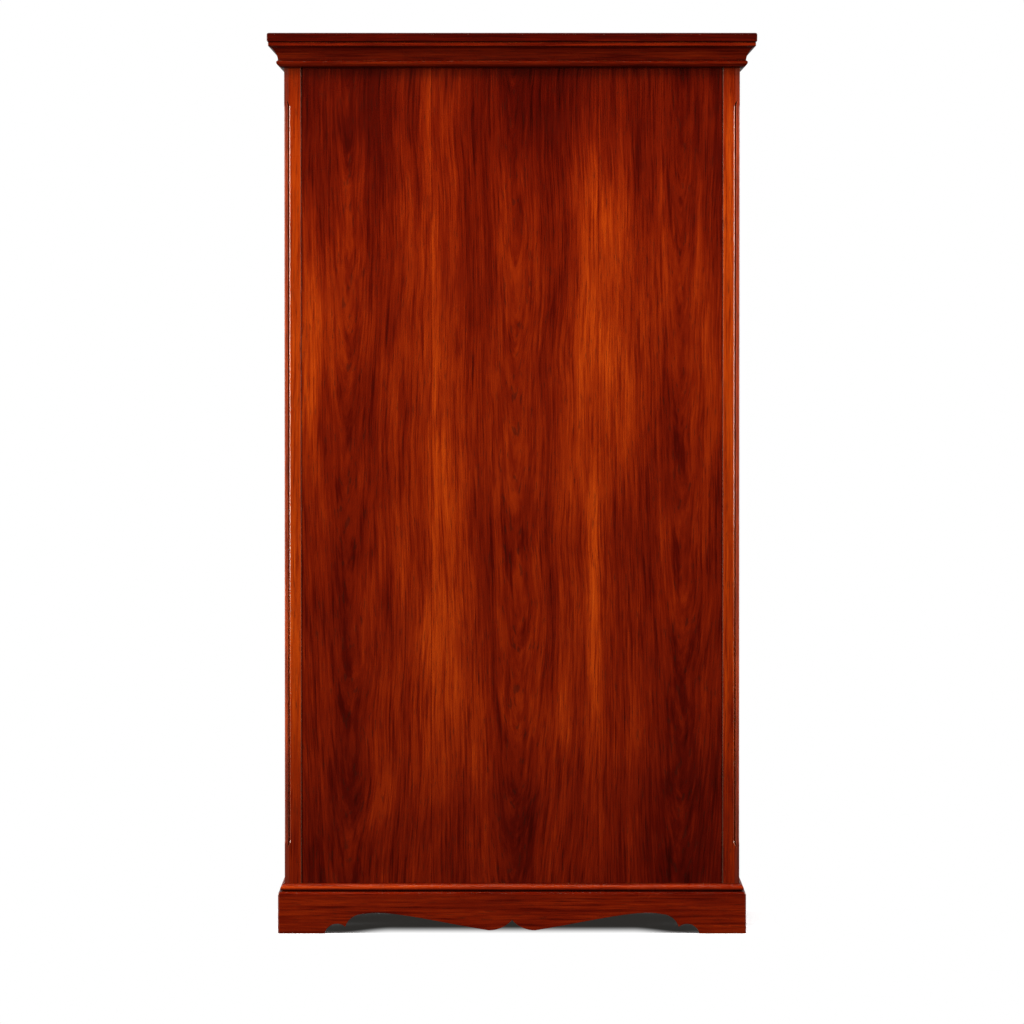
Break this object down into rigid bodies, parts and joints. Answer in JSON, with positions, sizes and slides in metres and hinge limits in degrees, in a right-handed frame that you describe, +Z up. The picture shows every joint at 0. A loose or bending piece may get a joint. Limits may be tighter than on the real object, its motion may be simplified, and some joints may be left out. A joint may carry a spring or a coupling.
{
  "type": "armoire",
  "caption": "Tall mahogany armoire with a coved cornice, beaded corner posts, figured veneered panels, framed doors and a scalloped plinth",
  "frame": {"origin": "on the floor under the middle of the case", "axes": "+Z up; the finished back faces -Y and the doors face +Y; +X is on the right seen from the back"},
  "size_m": [1.032, 0.651, 1.9],
  "materials": {
    "post_wood": "polished mahogany, straight grain",
    "panel_veneer": "polished figured mahogany veneer",
    "door_veneer": "polished figured mahogany veneer",
    "door_wood": "polished mahogany",
    "moulding_wood": "polished mahogany, long grain",
    "inner_wood": "waxed secondary wood",
    "brass": "aged polished brass",
    "steel": "plain steel",
    "screw_steel": "plain steel"
  },
  "bodies": {
    "case": {"back_panel": "panel_veneer", "base_bead_back": "moulding_wood", "base_bead_front": "moulding_wood", "base_bead_left": "moulding_wood", "base_bead_right": "moulding_wood", "bottom_board": "inner_wood", "cornice_back": "moulding_wood", "cornice_blocks": "inner_wood", "cornice_front": "moulding_wood", "cornice_left": "moulding_wood", "cornice_right": "moulding_wood", "cornice_screws": "screw_steel", "door_sill": "door_wood", "dust_board": "inner_wood", "front_top_rail": "post_wood", "hanging_rail": "brass", "hat_shelf": "inner_wood", "hinge_case_leaves": "brass", "hinge_case_screws": "brass", "hinge_pins": "brass", "plinth_apron_back": "moulding_wood", "plinth_apron_front": "moulding_wood", "plinth_apron_left": "moulding_wood", "plinth_apron_right": "moulding_wood", "plinth_blocks": "inner_wood", "post_back_left": "post_wood", "post_back_right": "post_wood", "post_front_left": "post_wood", "post_front_right": "post_wood", "rail_socket_screws": "brass", "rail_sockets": "brass", "shelf_cleats": "inner_wood", "side_panel_left": "panel_veneer", "side_panel_right": "panel_veneer", "top_board": "inner_wood"},
    "door_right": {"door_right_hinge_stile": "door_wood", "door_right_meeting_stile": "door_wood", "door_right_top_rail": "door_wood", "door_right_bottom_rail": "door_wood", "door_right_panel": "door_veneer", "door_meeting_bead": "door_wood", "knob_right": "brass", "lock_case": "steel", "lock_escutcheon": "brass", "hinge_door_leaves_right": "brass", "hinge_door_screws_right": "brass"},
    "door_left": {"door_left_hinge_stile": "door_wood", "door_left_meeting_stile": "door_wood", "door_left_top_rail": "door_wood", "door_left_bottom_rail": "door_wood", "door_left_panel": "door_veneer", "knob_left": "brass", "lock_strike": "brass", "flush_bolt_plates": "brass", "hinge_door_leaves_left": "brass", "hinge_door_screws_left": "brass"},
    "bolt": {"lock_bolt": "steel"},
    "key": {"lock_key": "steel"},
    "flush_bolt_top": {"flush_bolt_top": "steel"},
    "flush_bolt_bottom": {"flush_bolt_bottom": "steel"}
  },
  "joints": [
    {"name": "door_right_hinge", "type": "hinge", "parent": "case", "child": "door_right", "pos_m": [0.4433, 0.2953, 0.95], "axis": [0, 0, -1], "range_deg": [0, 110]},
    {"name": "door_left_hinge", "type": "hinge", "parent": "case", "child": "door_left", "pos_m": [-0.4433, 0.2953, 0.95], "axis": [0, 0, 1], "range_deg": [0, 110]},
    {"name": "key_turn", "type": "hinge", "parent": "door_right", "child": "key", "pos_m": [0.0272, 0.2765, 0.94], "axis": [0, 1, 0], "range_deg": [0, 180]},
    {"name": "lock_bolt_slide", "type": "slide", "parent": "door_right", "child": "bolt", "axis": [-1, 0, 0], "range_m": [0, 0.009]},
    {"name": "flush_bolt_top_slide", "type": "slide", "parent": "door_left", "child": "flush_bolt_top", "axis": [0, 0, 1], "range_m": [0, 0.0135]},
    {"name": "flush_bolt_bottom_slide", "type": "slide", "parent": "door_left", "child": "flush_bolt_bottom", "axis": [0, 0, -1], "range_m": [0, 0.0135]}
  ],
  "couplings": [
    {"joint": "lock_bolt_slide", "follows": "key_turn", "m_per_rad": 0.0028647}
  ]
}
